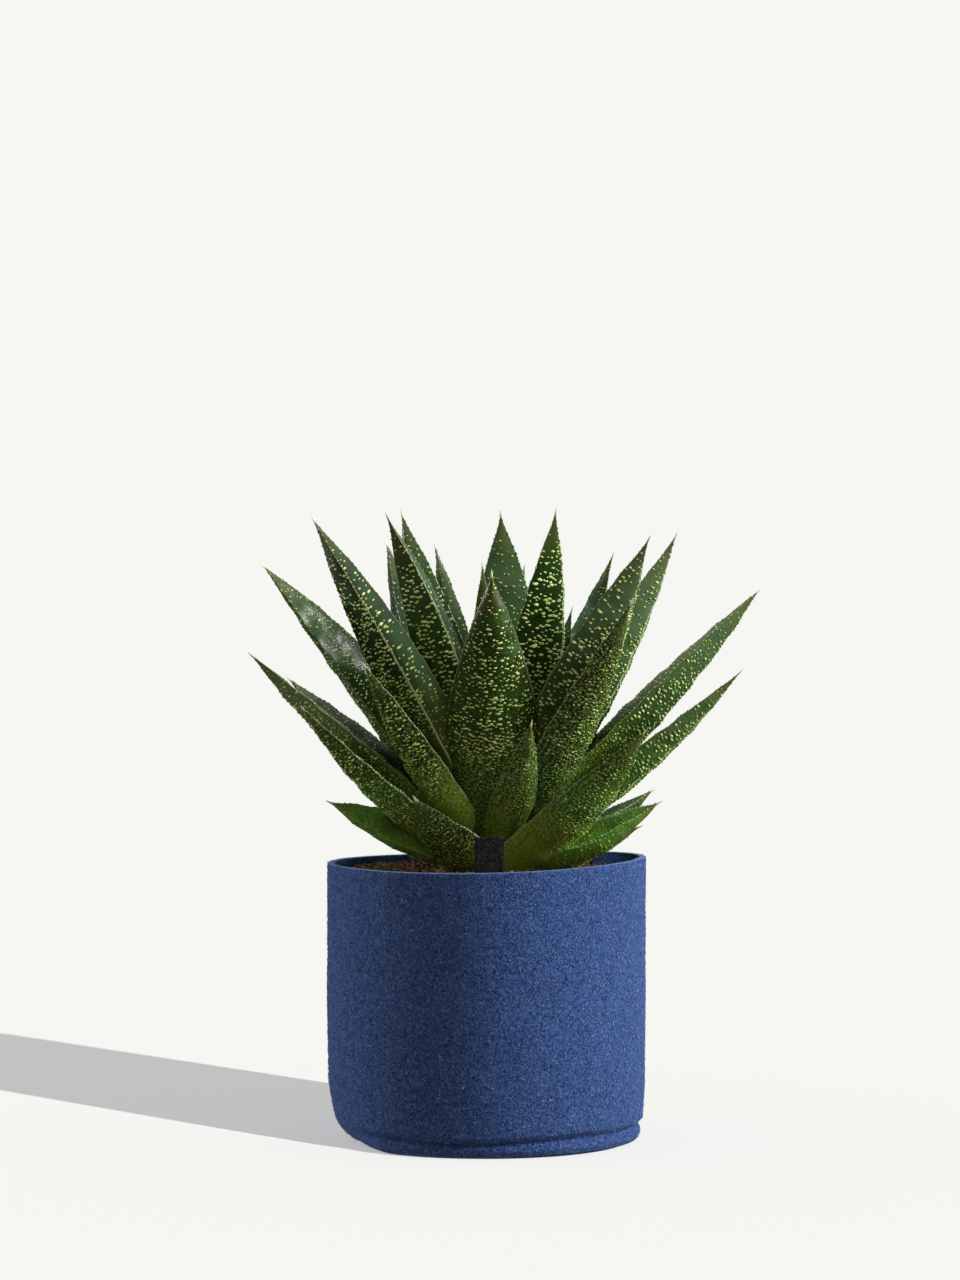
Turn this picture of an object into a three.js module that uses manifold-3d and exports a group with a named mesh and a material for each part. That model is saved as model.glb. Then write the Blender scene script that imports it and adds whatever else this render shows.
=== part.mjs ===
// A gasteria in a felt planter: felt wall and base, soil, stem, a felt tab, and a rosette of keeled leaves.
// Millimetres, +Z up. The origin is the middle of the planter's underside; the front is towards -Y.

import * as THREE from 'three';
import { mergeVertices } from 'three/addons/utils/BufferGeometryUtils.js';
import Module from 'manifold-3d';

const wasm = await Module();
wasm.setup();

// Planter
const POT_RADIUS = 65;
const POT_HEIGHT = 113.8;
const FELT = 3;
const BASE_RADIUS = 45;
const POT_SEGMENTS = 36;

// Soil
const SOIL_HEIGHT = 109;
const SOIL_MOUND = 1.6;
const SOIL_CLOD = 1.1;
const GAP = 0.35;

// Stem
const STEM_X = 3;
const STEM_RADIUS = 9;
const STEM_FOOT = 72;
const STEM_SEGMENTS = 14;
const STEM_PROFILE = [[STEM_RADIUS, STEM_FOOT], [STEM_RADIUS, 112], [13, 119], [14, 127], [11, 136], [5, 143]];
const STEM_HEAD = 146;

// Felt tab
const TAB = { width: 11.5, thickness: 2, foot: 84, top: 126.5, x: 1.2, y: -59.6 };

// Leaves
const LEAF_ROOT = 2;
const ROOT_SHARE = 1;
const WIDEST_AT = 0.42;
const ROW_PITCH = 12;
const FIRST_ROW = 0.17;
const MUCRO = 2.4;
const WART = 1.4;
const WARTS_FROM = 0.2;
const TOOTH = 0.7;
const INNER_SWELL = 0.16;

// One row a leaf, the outermost first.
// azimuth, root height, reach, tip height, width, depth share, arch, sway, roll, keel place, fullness
const LEAVES = [
  [204, 115, 72, 139, 23, 0.38, -0.02, 0, -40, -0.2, 1.85],
  [231, 110, 50, 141, 34, 0.34, -0.06, 0, 0, 0, 1.6],
  [336, 110, 64, 129, 24, 0.32, -0.04, 0, 0, 0, 1.85],
  [100, 111, 66, 134, 22, 0.4, -0.04, 0, 0, 0, 1.85],
  [140, 111, 62, 141, 22, 0.4, -0.04, 0, 5, 0, 1.85],
  [30, 111, 60, 131, 20, 0.4, -0.04, 0, -5, 0, 1.85],
  [350, 112, 68, 138, 32, 0.36, -0.02, 0, 15, 0, 1.85],
  [14, 113, 68, 142, 26, 0.4, -0.03, 0, 0, 0, 1.85],
  [318, 111, 80, 168, 34, 0.36, -0.05, 0, 0, 0, 1.7],
  [128, 113, 76, 150, 25, 0.4, -0.03, 0, 0, 0.2, 1.85],
  [62, 113, 78, 150, 25, 0.4, -0.03, 0, 0, -0.2, 1.85],
  [285, 114, 57, 171, 19, 0.36, -0.05, 0, 0, 0, 1.7],
  [213, 114, 90, 177, 26, 0.38, -0.06, 0, -10, 0, 1.85],
  [90, 115, 92, 172, 28, 0.4, -0.02, 0, 8, 0.2, 1.85],
  [224, 116, 71, 194, 21, 0.45, -0.02, 0, 0, 0, 1.85],
  [172, 117, 85, 188, 30, 0.42, 0.01, 0, -15, 0, 1.85],
  [198, 116, 102, 198, 26, 0.42, 0.01, 0, -4, 0, 1.85],
  [346, 114, 102, 191, 24, 0.36, -0.055, 0, -20, 0.2, 1.85],
  [32, 116, 92, 186, 28, 0.42, 0, 0, -10, 0.2, 1.85],
  [134, 117, 80, 184, 28, 0.42, 0, 0, 10, -0.2, 1.85],
  [317, 115, 74, 219, 29, 0.38, -0.03, 0, 0, 0, 1.7],
  [269, 117, 52, 230, 39, 0.32, -0.01, 0, 0, 0, 1.5],
  [115, 119, 84, 212, 31, 0.42, -0.01, 0, 10, 0.3, 1.85],
  [60, 119, 88, 205, 30, 0.42, 0, 0, -10, -0.3, 1.85],
  [356, 119, 108, 224, 38, 0.4, 0.035, 0, 3, 0, 1.85],
  [192, 120, 95, 234, 29, 0.44, 0.06, 0, -42, 0, 1.85],
  [325, 121, 75, 244, 31, 0.42, 0, 0, -20, -0.3, 1.85],
  [210, 122, 83, 252, 25, 0.44, 0.02, 0, 38, -0.5, 1.85],
  [160, 120, 62, 218, 30, 0.42, -0.02, 0, 0, 0, 1.85],
  [345, 122, 76, 246, 30, 0.42, -0.02, 0, -20, 0, 1.85],
  [42, 124, 68, 240, 22, 0.42, -0.02, 0, 0, 0, 1.85],
  [223, 124, 58, 253, 21, 0.42, 0.05, 0, 50, -0.7, 1.85],
  [304, 124, 44, 255, 30, 0.42, -0.02, 0, 15, -0.5, 1.85],
  [152, 124, 50, 244, 34, 0.42, -0.01, 0, 0, 0, 1.85],
  [86, 124, 45, 257, 32, 0.36, -0.02, 0.04, 0, 0, 1.85],
  [205, 127, 41, 255, 30, 0.42, -0.01, 0, 30, 0, 1.85],
  [72, 128, 42, 234, 18, 0.42, -0.02, 0, 0, 0, 1.85],
  [218, 129, 30, 242, 18, 0.42, 0.02, 0, 20, -0.4, 1.85],
  [334, 129, 35, 216, 20, 0.42, -0.02, 0, 0, 0, 2.4],
  [100, 130, 26, 235, 15, 0.42, -0.02, 0, 0, 0, 1.85],
  [50, 130, 14, 205, 14, 0.4, -0.02, 0, 0, 0, 1.85],
  [230, 131, 12, 197, 13, 0.4, -0.02, 0, 0, 0, 1.85],
];

const FELT_BLUE = { color: 0x2f4f8f, roughness: 0.95, metalness: 0 };
const TAB_CHARCOAL = { color: 0x1f1f22, roughness: 0.95, metalness: 0 };
const SOIL_BROWN = { color: 0x4a2c1a, roughness: 1, metalness: 0 };
const STEM_GREEN = { color: 0x6f7c34, roughness: 0.7, metalness: 0 };
const LEAF_GREEN = { color: 0x2c4a1c, roughness: 0.4, metalness: 0 };

function mix(a, b, share) {
  return a + (b - a) * share;
}

function meshOf(name, geometry, look) {
  const mesh = new THREE.Mesh(geometry, new THREE.MeshStandardMaterial(look));
  mesh.name = name;
  return mesh;
}

function geometryOf(points, triangles) {
  const geometry = new THREE.BufferGeometry();
  geometry.setAttribute('position', new THREE.Float32BufferAttribute(points, 3));
  geometry.setIndex(triangles);
  return geometry;
}

// A skin over rings of points. The first and the last ring are closed with one point each,
// or, without those, the rings themselves close on each other.
function skinOf(rings, firstPoint, lastPoint) {
  const count = rings[0].length;
  const points = rings.flat().flatMap((p) => [p.x, p.y, p.z]);
  const triangles = [];
  const spans = firstPoint ? rings.length - 1 : rings.length;
  for (let i = 0; i < spans; i++) {
    const next = (i + 1) % rings.length;
    for (let j = 0; j < count; j++) {
      const k = (j + 1) % count;
      const corners = [i * count + j, i * count + k, next * count + k, next * count + j];
      triangles.push(corners[0], corners[1], corners[2], corners[0], corners[2], corners[3]);
    }
  }
  if (firstPoint) {
    const first = rings.length * count;
    points.push(firstPoint.x, firstPoint.y, firstPoint.z, lastPoint.x, lastPoint.y, lastPoint.z);
    const lastRing = (rings.length - 1) * count;
    for (let j = 0; j < count; j++) {
      const k = (j + 1) % count;
      triangles.push(first, k, j);
      triangles.push(first + 1, lastRing + j, lastRing + k);
    }
  }
  return geometryOf(points, triangles);
}

function solidOf(geometry) {
  const bare = geometry.clone();
  bare.deleteAttribute('normal');
  bare.deleteAttribute('uv');
  const merged = mergeVertices(bare, 1e-4);
  return new wasm.Manifold(new wasm.Mesh({
    numProp: 3,
    vertProperties: new Float32Array(merged.attributes.position.array),
    triVerts: new Uint32Array(merged.index.array),
  }));
}

function geometryFrom(solid) {
  const mesh = solid.getMesh();
  return geometryOf(Array.from(mesh.vertProperties), Array.from(mesh.triVerts));
}

function boxOf(solid) {
  const { min, max } = solid.boundingBox();
  return new THREE.Box3(new THREE.Vector3(...min), new THREE.Vector3(...max));
}

function largestOf(solid) {
  return solid.decompose().reduce((best, piece) => (piece.volume() > best.volume() ? piece : best));
}

// The same skin moved outward along its vertex normals.
function grown(geometry, distance) {
  const wide = geometry.clone();
  wide.computeVertexNormals();
  const place = wide.attributes.position;
  const normal = wide.attributes.normal;
  for (let i = 0; i < place.count; i++) {
    place.setXYZ(
      i,
      place.getX(i) + normal.getX(i) * distance,
      place.getY(i) + normal.getY(i) * distance,
      place.getZ(i) + normal.getZ(i) * distance,
    );
  }
  return wide;
}

// Planter: the rim stands out of level, and the foot is creased in front and on the right,
// where the bottom is seamed on, and softly rounded on the left.
function rimHeight(angle) {
  return POT_HEIGHT + 1.25 * Math.cos(angle) + 0.4 * Math.sin(angle) + 0.65 * Math.cos(2 * angle);
}

function creaseShare(angle) {
  return THREE.MathUtils.smoothstep(Math.cos(angle + 0.75), -0.45, 0.1);
}

const ROUND_FOOT = [[BASE_RADIUS, 0], [50, 0], [54.5, 1.6], [58.4, 4.8], [61.4, 9.6], [63.2, 15], [64.4, 24]];
const CREASED_FOOT = [[BASE_RADIUS, 0], [58, 0], [61.2, 1.6], [62.6, 4.6], [61.4, 6.9], [64, 9], [64.8, 24]];
const WALL_TOP_SHARES = [0.5, 1];

function outerWall(angle) {
  const share = creaseShare(angle);
  const foot = ROUND_FOOT.map(([radius, z], i) => [
    mix(radius, CREASED_FOOT[i][0], share),
    mix(z, CREASED_FOOT[i][1], share),
  ]);
  const [, top] = foot[foot.length - 1];
  const wave = 0.35 * Math.sin(3 * angle + 0.6);
  const rise = WALL_TOP_SHARES.map((part) => [POT_RADIUS + wave * part, mix(top, rimHeight(angle), part)]);
  return [...foot, ...rise];
}

// The inside follows the outside at the felt's thickness.
function innerWall(angle, clearance) {
  const inset = FELT + clearance;
  const share = creaseShare(angle);
  const wave = 0.35 * Math.sin(3 * angle + 0.6);
  return [
    [BASE_RADIUS, inset],
    [mix(50, 56, share), inset],
    [mix(56.2, 59, share) - clearance, mix(8, 6.8, share) + clearance],
    [60.6 - clearance, 16],
    [61.8 - clearance, 30],
    [POT_RADIUS - FELT - clearance + wave, rimHeight(angle)],
  ];
}

function potAngles() {
  return Array.from({ length: POT_SEGMENTS }, (_, i) => (2 * Math.PI * i) / POT_SEGMENTS);
}

function aroundAxis(angle, radius, z) {
  return new THREE.Vector3(radius * Math.cos(angle), radius * Math.sin(angle), z);
}

function feltWall() {
  const rings = potAngles().map((angle) => {
    const loop = [...outerWall(angle), ...innerWall(angle, 0).reverse()];
    return loop.map(([radius, z]) => aroundAxis(angle, radius, z));
  });
  return meshOf('felt_wall', skinOf(rings.reverse()), FELT_BLUE);
}

function feltBase() {
  const geometry = new THREE.CylinderGeometry(BASE_RADIUS - GAP, BASE_RADIUS - GAP, FELT, POT_SEGMENTS);
  geometry.rotateX(Math.PI / 2);
  geometry.translate(0, 0, FELT / 2);
  return meshOf('felt_base', geometry, FELT_BLUE);
}

// Soil: a plug that fills the planter, its top lumpy, with a plain hole for the stem and a slot for the tab.
function soilTop(x, y) {
  const middle = Math.max(0, 1 - Math.hypot(x - STEM_X, y) / POT_RADIUS);
  const clods = Math.sin(0.31 * x + 1.7 * Math.sin(0.23 * y)) * Math.cos(0.27 * y + 1.3 * Math.sin(0.19 * x));
  return SOIL_HEIGHT + SOIL_MOUND * middle + SOIL_CLOD * clods;
}

const SOIL_RINGS = [0.85, 0.68, 0.5, 0.3];

function soilRing(shareOut, angle, edge) {
  const hole = new THREE.Vector2(STEM_X, 0).add(new THREE.Vector2(Math.cos(angle), Math.sin(angle))
    .multiplyScalar(STEM_RADIUS + GAP));
  const out = new THREE.Vector2(edge * Math.cos(angle), edge * Math.sin(angle));
  return hole.lerp(out, shareOut);
}

function soilGeometry() {
  const columns = potAngles().map((angle) => {
    const wall = innerWall(angle, GAP);
    const edge = wall[wall.length - 1][0];
    const side = wall.slice(0, -1).map(([radius, z]) => aroundAxis(angle, radius, z));
    const top = [1, ...SOIL_RINGS, 0].map((share) => {
      const place = soilRing(share, angle, edge);
      return new THREE.Vector3(place.x, place.y, soilTop(place.x, place.y));
    });
    const foot = soilRing(0, angle, edge);
    return [...side, ...top, new THREE.Vector3(foot.x, foot.y, STEM_FOOT - GAP)];
  });
  const rings = columns[0].map((_, row) => columns.map((column) => column[row]));
  const under = new THREE.Vector3(0, 0, FELT + GAP);
  return skinOf(rings, under, new THREE.Vector3(STEM_X, 0, STEM_FOOT - GAP));
}

function tabGeometry(margin) {
  const height = TAB.top - TAB.foot + margin;
  const geometry = new THREE.BoxGeometry(TAB.width + 2 * margin, TAB.thickness + 2 * margin, height, 3, 1, 4);
  geometry.translate(TAB.x, TAB.y, TAB.foot - margin + height / 2);
  return geometry;
}

function soil() {
  const slotted = solidOf(soilGeometry()).subtract(solidOf(tabGeometry(GAP)));
  return meshOf('soil', geometryFrom(slotted), SOIL_BROWN);
}

// Stem: it swells where the leaves grow from it.
function stemGeometry(margin) {
  const rings = STEM_PROFILE.map(([radius, z]) => Array.from({ length: STEM_SEGMENTS }, (_, i) => {
    const angle = (2 * Math.PI * i) / STEM_SEGMENTS;
    return aroundAxis(angle, radius + margin, z).add(new THREE.Vector3(STEM_X, 0, 0));
  }));
  const foot = new THREE.Vector3(STEM_X, 0, STEM_FOOT);
  const head = new THREE.Vector3(STEM_X, 0, STEM_HEAD + margin);
  return skinOf(rings, foot, head);
}

function stem() {
  return meshOf('stem', stemGeometry(0), STEM_GREEN);
}

function tab() {
  return meshOf('felt_tab', tabGeometry(0), TAB_CHARCOAL);
}

// Leaves: each follows a bowed spine from the stem to its tip. Its section has a slightly swollen inner face,
// two sharp margins and an outer face raised to a keel.
function widthShare(u, fullness) {
  if (u < WIDEST_AT) {
    return ROOT_SHARE + (1 - ROOT_SHARE) * Math.sin((0.5 * Math.PI * u) / WIDEST_AT);
  }
  const left = (1 - u) / (1 - WIDEST_AT);
  return (1 - (1 - left) ** fullness) * (1 - 0.35 * Math.exp(-((left / 0.12) ** 2)));
}

function depthShareAt(u, fullness) {
  const shape = u < WIDEST_AT ? 1 : widthShare(u, fullness);
  return shape ** 0.8 * (1 - 0.2 * u);
}

function spineOf(azimuth, rootHeight, reach, tipHeight, arch, sway, roll) {
  const angle = THREE.MathUtils.degToRad(azimuth);
  const out = new THREE.Vector3(Math.cos(angle), Math.sin(angle), 0);
  const axis = new THREE.Vector3(STEM_X, 0, 0);
  const root = axis.clone().addScaledVector(out, LEAF_ROOT).setZ(rootHeight);
  const tip = axis.clone().addScaledVector(out, reach).setZ(tipHeight);
  const chord = tip.clone().sub(root);
  const length = chord.length();
  const across = new THREE.Vector3(Math.sin(angle), -Math.cos(angle), 0);
  const up = across.clone().cross(chord).normalize();
  const bend = root.clone().add(tip).multiplyScalar(0.5);
  bend.addScaledVector(up, arch * length).addScaledVector(across, sway * length);
  const curve = new THREE.QuadraticBezierCurve3(root, bend, tip);
  const turn = THREE.MathUtils.degToRad(roll);
  return (u) => {
    const along = curve.getTangent(u);
    const normal = up.clone().addScaledVector(along, -up.dot(along)).normalize();
    const side = along.clone().cross(normal);
    return {
      place: curve.getPoint(u),
      along,
      inward: normal.clone().multiplyScalar(Math.cos(turn)).addScaledVector(side, Math.sin(turn)),
      side: side.multiplyScalar(Math.cos(turn)).addScaledVector(normal, -Math.sin(turn)),
    };
  };
}

const OUTER_STEPS = [0.36, 0.72];
const INNER_STEPS = [0.4, -0.4];

// Across places on the outer face, margin to margin, each with its height share below the inner face.
function outerPlaces(keel, u) {
  const power = 2 - 0.6 * u;
  const left = OUTER_STEPS.map((step) => keel - step * (1 + keel)).reverse();
  const right = OUTER_STEPS.map((step) => keel + step * (1 - keel));
  return [...left, keel, ...right].map((s) => {
    const away = s < keel ? (keel - s) / (1 + keel) : (s - keel) / (1 - keel);
    return { s, rise: 1 - away ** power };
  });
}

function leafGeometry(row, index) {
  const [azimuth, rootHeight, reach, tipHeight, width, depth, arch, sway, roll, keel, fullness] = row;
  const spine = spineOf(azimuth, rootHeight, reach, tipHeight, arch, sway, roll);
  const length = Math.hypot(reach - LEAF_ROOT, tipHeight - rootHeight);
  const rows = Math.max(6, Math.round(((1 - FIRST_ROW) * length) / ROW_PITCH));
  const rings = [];
  for (let i = 0; i <= rows; i++) {
    const u = i === 0 ? 0 : mix(FIRST_ROW, 1, (i - 1) / rows);
    const { place, inward, side } = spine(u);
    const half = 0.5 * width * widthShare(u, fullness);
    const thick = depth * width * depthShareAt(u, fullness);
    const wart = WART * Math.min(1, 2.2 * (1 - u)) * THREE.MathUtils.smoothstep(u, WARTS_FROM, 2 * WARTS_FROM);
    const raised = (j) => ((i + j + index) % 2 === 0 ? wart : 0);
    const at = (s, n) => place.clone().addScaledVector(side, s).addScaledVector(inward, n);
    const tooth = (j) => TOOTH * ((i + j) % 2 === 0 ? 1 : -0.4) * Math.min(1, 3 * (1 - u));
    const ring = [at(-half - tooth(0), 0)];
    outerPlaces(keel, u).forEach(({ s, rise }, j) => {
      ring.push(at(s * half, -thick * rise - raised(j)));
    });
    ring.push(at(half + tooth(1), 0));
    INNER_STEPS.forEach((s, j) => {
      ring.push(at(s * half, INNER_SWELL * thick * (1 - s * s) + 0.6 * raised(j + 1)));
    });
    rings.push(ring.reverse());
  }
  const end = spine(1);
  const root = spine(0);
  const middle = root.place.clone().addScaledVector(root.inward, -0.4 * depth * width);
  return skinOf(rings, middle, end.place.clone().addScaledVector(end.along, MUCRO));
}

// Each leaf is cut back to clear the stem, the soil and the leaves outside it.
function leaves() {
  const shapes = LEAVES.map(leafGeometry);
  const cutters = shapes.map((shape) => solidOf(grown(shape, GAP)).add(solidOf(shape)));
  const boxes = cutters.map(boxOf);
  const stemCutter = solidOf(stemGeometry(GAP));
  const soilCutter = solidOf(grown(soilGeometry(), GAP));
  return shapes.map((shape, i) => {
    let solid = solidOf(shape).subtract(stemCutter).subtract(soilCutter);
    for (let outer = 0; outer < i; outer++) {
      if (boxes[outer].intersectsBox(boxes[i])) {
        solid = solid.subtract(cutters[outer]);
      }
    }
    const name = `leaf_${String(i + 1).padStart(2, '0')}`;
    return meshOf(name, geometryFrom(largestOf(solid)), LEAF_GREEN);
  });
}

const group = new THREE.Group();
group.add(feltWall(), feltBase(), soil(), stem(), tab(), ...leaves());

export default group;
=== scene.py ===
"""The looks of a gasteria in a felt planter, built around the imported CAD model. Sizes are in millimetres
until a mesh is made, and the front is towards -Y."""

import math

import bpy
import numpy as np
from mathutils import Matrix, Vector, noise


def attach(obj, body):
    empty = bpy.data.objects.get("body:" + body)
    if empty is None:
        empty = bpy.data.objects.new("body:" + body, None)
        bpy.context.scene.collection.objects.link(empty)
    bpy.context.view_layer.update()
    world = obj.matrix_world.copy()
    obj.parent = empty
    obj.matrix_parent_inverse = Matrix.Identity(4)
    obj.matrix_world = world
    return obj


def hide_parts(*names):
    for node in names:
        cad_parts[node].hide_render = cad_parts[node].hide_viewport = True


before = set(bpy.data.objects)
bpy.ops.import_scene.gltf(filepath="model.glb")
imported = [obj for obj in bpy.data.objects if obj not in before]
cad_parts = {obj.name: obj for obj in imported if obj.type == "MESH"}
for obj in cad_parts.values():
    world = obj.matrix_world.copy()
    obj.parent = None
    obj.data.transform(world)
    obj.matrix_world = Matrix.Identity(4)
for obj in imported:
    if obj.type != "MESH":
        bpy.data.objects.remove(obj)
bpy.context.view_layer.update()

MM = 0.001
BODY = "root"
LEAF_SEED = 400
FELT_SEED = 19
SOIL_SEED = 77

# Planter, as in the CAD
POT_RADIUS = 65.0
POT_HEIGHT = 113.8
FELT = 3.0
BASE_RADIUS = 45.0

# Soil, as in the CAD
SOIL_HEIGHT = 109.0
SOIL_MOUND = 1.6
SOIL_CLOD = 1.1

# Stem and tab, as in the CAD
STEM_X = 3.0
TAB = {"width": 11.5, "thickness": 2.0, "top": 126.5, "x": 1.2, "y": -59.6}

# Leaves, as in the CAD
LEAF_ROOT = 2.0
WIDEST_AT = 0.42
INNER_SWELL = 0.16
MUCRO = 2.4
ROUND_BACK = 2.3
WAVE = 0.22
LONG_WAVE = 2.7
SHORT_WAVE = 1.6

# One row a leaf, the outermost first.
# azimuth, root height, reach, tip height, width, depth share, arch, roll, keel place
LEAVES = [
    (204, 115, 72, 139, 23, 0.38, -0.02, -40, -0.2),
    (231, 110, 50, 141, 34, 0.34, -0.06, 0, 0),
    (336, 110, 64, 129, 24, 0.32, -0.04, 0, 0),
    (100, 111, 66, 134, 22, 0.4, -0.04, 0, 0),
    (140, 111, 62, 141, 22, 0.4, -0.04, 5, 0),
    (30, 111, 60, 131, 20, 0.4, -0.04, -5, 0),
    (350, 112, 68, 138, 32, 0.36, -0.02, 15, 0),
    (14, 113, 68, 142, 26, 0.4, -0.03, 0, 0),
    (318, 111, 80, 168, 34, 0.36, -0.05, 0, 0),
    (128, 113, 76, 150, 25, 0.4, -0.03, 0, 0.2),
    (62, 113, 78, 150, 25, 0.4, -0.03, 0, -0.2),
    (285, 114, 57, 171, 19, 0.36, -0.05, 0, 0),
    (213, 114, 90, 177, 26, 0.38, -0.06, -10, 0),
    (90, 115, 92, 172, 28, 0.4, -0.02, 8, 0.2),
    (224, 116, 71, 194, 21, 0.45, -0.02, 0, 0),
    (172, 117, 85, 188, 30, 0.42, 0.01, -15, 0),
    (198, 116, 102, 198, 26, 0.42, 0.01, -4, 0),
    (346, 114, 102, 191, 24, 0.36, -0.055, -20, 0.2),
    (32, 116, 92, 186, 28, 0.42, 0, -10, 0.2),
    (134, 117, 80, 184, 28, 0.42, 0, 10, -0.2),
    (317, 115, 74, 219, 29, 0.38, -0.03, 0, 0),
    (269, 117, 52, 230, 39, 0.32, -0.01, 0, 0),
    (115, 119, 84, 212, 31, 0.42, -0.01, 10, 0.3),
    (60, 119, 88, 205, 30, 0.42, 0, -10, -0.3),
    (356, 119, 108, 224, 38, 0.4, 0.035, 3, 0),
    (192, 120, 95, 234, 29, 0.44, 0.06, -42, 0),
    (325, 121, 75, 244, 31, 0.42, 0, -20, -0.3),
    (210, 122, 83, 252, 25, 0.44, 0.02, 38, -0.5),
    (160, 120, 62, 218, 30, 0.42, -0.02, 0, 0),
    (345, 122, 76, 246, 30, 0.42, -0.02, -20, 0),
    (42, 124, 68, 240, 22, 0.42, -0.02, 0, 0),
    (223, 124, 58, 253, 21, 0.42, 0.05, 50, -0.7),
    (304, 124, 44, 255, 30, 0.42, -0.02, 15, -0.5),
    (152, 124, 50, 244, 34, 0.42, -0.01, 0, 0),
    (86, 124, 45, 257, 32, 0.36, -0.02, 0, 0),
    (205, 127, 41, 255, 30, 0.42, -0.01, 30, 0),
    (72, 128, 42, 234, 18, 0.42, -0.02, 0, 0),
    (218, 129, 30, 242, 18, 0.42, 0.02, 20, -0.4),
    (334, 129, 35, 216, 20, 0.42, -0.02, 0, 0),
    (100, 130, 26, 235, 15, 0.42, -0.02, 0, 0),
    (50, 130, 14, 205, 14, 0.4, -0.02, 0, 0),
    (230, 131, 12, 197, 13, 0.4, -0.02, 0, 0),
]

# The leaves with a round back; the others have a keel.
ROUND_BACKED = (1, 2, 3, 7, 8, 9, 12, 13, 15, 21, 22)

# What sets leaves apart. A row has the value of most leaves, and then leaf number to its own value.
TRAITS = {
    # How full the blade stays towards its tip
    "fullness": (1.85, {2: 1.6, 9: 1.7, 12: 1.7, 21: 1.7, 22: 1.5, 39: 2.4}),
    # How far the blade bends to one side, as a share of its length
    "sway": (0, {35: 0.04}),
    # How olive the skin is, from dark green
    "olive": (0.1, {1: 0.5, 2: 0.75, 3: 0.6, 7: 0.4, 9: 0.6, 12: 0.7, 13: 0.35, 15: 0.55, 21: 0.8, 22: 0.55,
                    27: 0.0}),
    # How yellow-green the root end is
    "lime": (0.4, {1: 1.0, 2: 0.6, 3: 1.0, 7: 1.0, 8: 0.9, 9: 1.0, 12: 0.7, 13: 0.4, 15: 1.0, 21: 0.05,
                   22: 0.1}),
    # How much lighter the skin is: partly the leaf's own tone, partly painted light and shade for how lit
    # each leaf is
    "light": (1.0, {1: 5.2, 3: 6.0, 7: 4.2, 9: 1.6, 12: 1.4, 13: 1.3, 15: 0.65, 16: 0.6, 17: 2.4, 18: 2.2,
                    21: 0.85, 22: 0.85, 25: 1.1, 28: 0.95, 32: 0.85, 33: 0.9, 34: 0.3}),
    # How far the upper part is painted a silvery grey-green sheen
    "painted_sheen": (0.0, {17: 0.95, 18: 0.6, 25: 0.6, 26: 0.3, 27: 0.95, 30: 1.0, 32: 0.25, 35: 0.6, 36: 0.7,
                     38: 0.75}),
    # How much is added to the roughness of the skin
    "dull": (0.0, {8: 0.2, 16: 0.25, 21: 0.08, 28: 0.5, 34: 0.6}),
    # How thickly fine specks cover the leaf above its root end
    "specks": (0.0, {1: 0.9, 2: 0.9, 3: 0.6, 7: 0.7, 8: 0.6, 9: 0.9, 12: 1.0, 13: 0.8, 15: 0.7, 17: 0.5,
                     18: 0.5, 21: 1.0, 22: 0.3, 25: 0.3}),
    # How clearly a pale line runs along the keel: partly the keel's own pale colour, partly a painted
    # highlight
    "keel line and painted highlight": (0.3, {17: 0.9, 18: 0.9, 25: 0.7, 26: 1.0, 27: 0.6, 28: 1.0, 30: 0.8, 32: 0.9, 33: 0.8,
                        36: 0.8, 38: 0.9}),
    # How large the warts are
    "wart size": (0.9, {1: 0.65, 2: 0.6, 7: 0.65, 8: 0.65, 9: 0.64, 12: 0.62, 13: 0.72, 15: 0.78, 17: 0.8,
                        21: 0.66, 22: 0.85, 26: 0.8, 27: 1.0, 28: 0.98, 32: 0.98, 33: 1.05, 36: 0.95}),
    # How bright the warts are
    "bright": (0.55, {2: 0.65, 9: 0.65, 13: 0.8, 15: 0.7, 17: 0.85, 18: 0.8, 21: 0.65, 22: 0.9,
                      25: 0.9, 26: 0.85, 27: 1.0, 28: 0.98, 30: 0.8, 32: 0.98, 33: 1.0, 35: 0.75, 36: 0.8,
                      38: 0.8}),
    # How much closer the warts stand
    "close": (1.0, {2: 1.1, 9: 1.1, 12: 1.1, 13: 1.35, 15: 1.45, 17: 1.35, 18: 1.25, 21: 1.05, 22: 1.15,
                    25: 1.15, 26: 1.2, 27: 1.15, 28: 1.2, 30: 1.15, 32: 1.1, 33: 1.25}),
}
# The traits that the skin's material reads from the mesh
SKIN_TRAITS = ("olive", "lime", "light", "painted_sheen", "dull", "specks")


def smoothstep(value, low, high):
    share = np.clip((np.asarray(value, float) - low) / (high - low), 0, 1)
    return share * share * (3 - 2 * share)


def unit(vectors):
    return vectors / np.linalg.norm(vectors, axis=-1, keepdims=True)


def placed(name, data):
    """An object linked into the scene."""
    made = bpy.data.objects.new(name, data)
    bpy.context.scene.collection.objects.link(made)
    return made


def piece(name, points, faces, looks, face_looks=None, attributes=None):
    """A smooth mesh object from points in millimetres, its materials and its named point values."""
    mesh = bpy.data.meshes.new(name)
    mesh.from_pydata((np.asarray(points) * MM).tolist(), [], [tuple(f) for f in faces])
    for look in looks:
        mesh.materials.append(look)
    mesh.polygons.foreach_set("use_smooth", [True] * len(mesh.polygons))
    if face_looks is not None:
        mesh.polygons.foreach_set("material_index", face_looks)
    for key, values in (attributes or {}).items():
        layer = mesh.attributes.new(key, "FLOAT", "POINT")
        layer.data.foreach_set("value", np.asarray(values, float).ravel())
    mesh.update()
    return placed(name, mesh)


def grid_faces(rows, columns, closed_columns=True, closed_rows=False):
    faces = []
    for i in range(rows if closed_rows else rows - 1):
        below = (i + 1) % rows
        for j in range(columns if closed_columns else columns - 1):
            k = (j + 1) % columns
            faces.append((i * columns + j, i * columns + k, below * columns + k, below * columns + j))
    return faces


def flipped(faces):
    return [tuple(reversed(face)) for face in faces]


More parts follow.
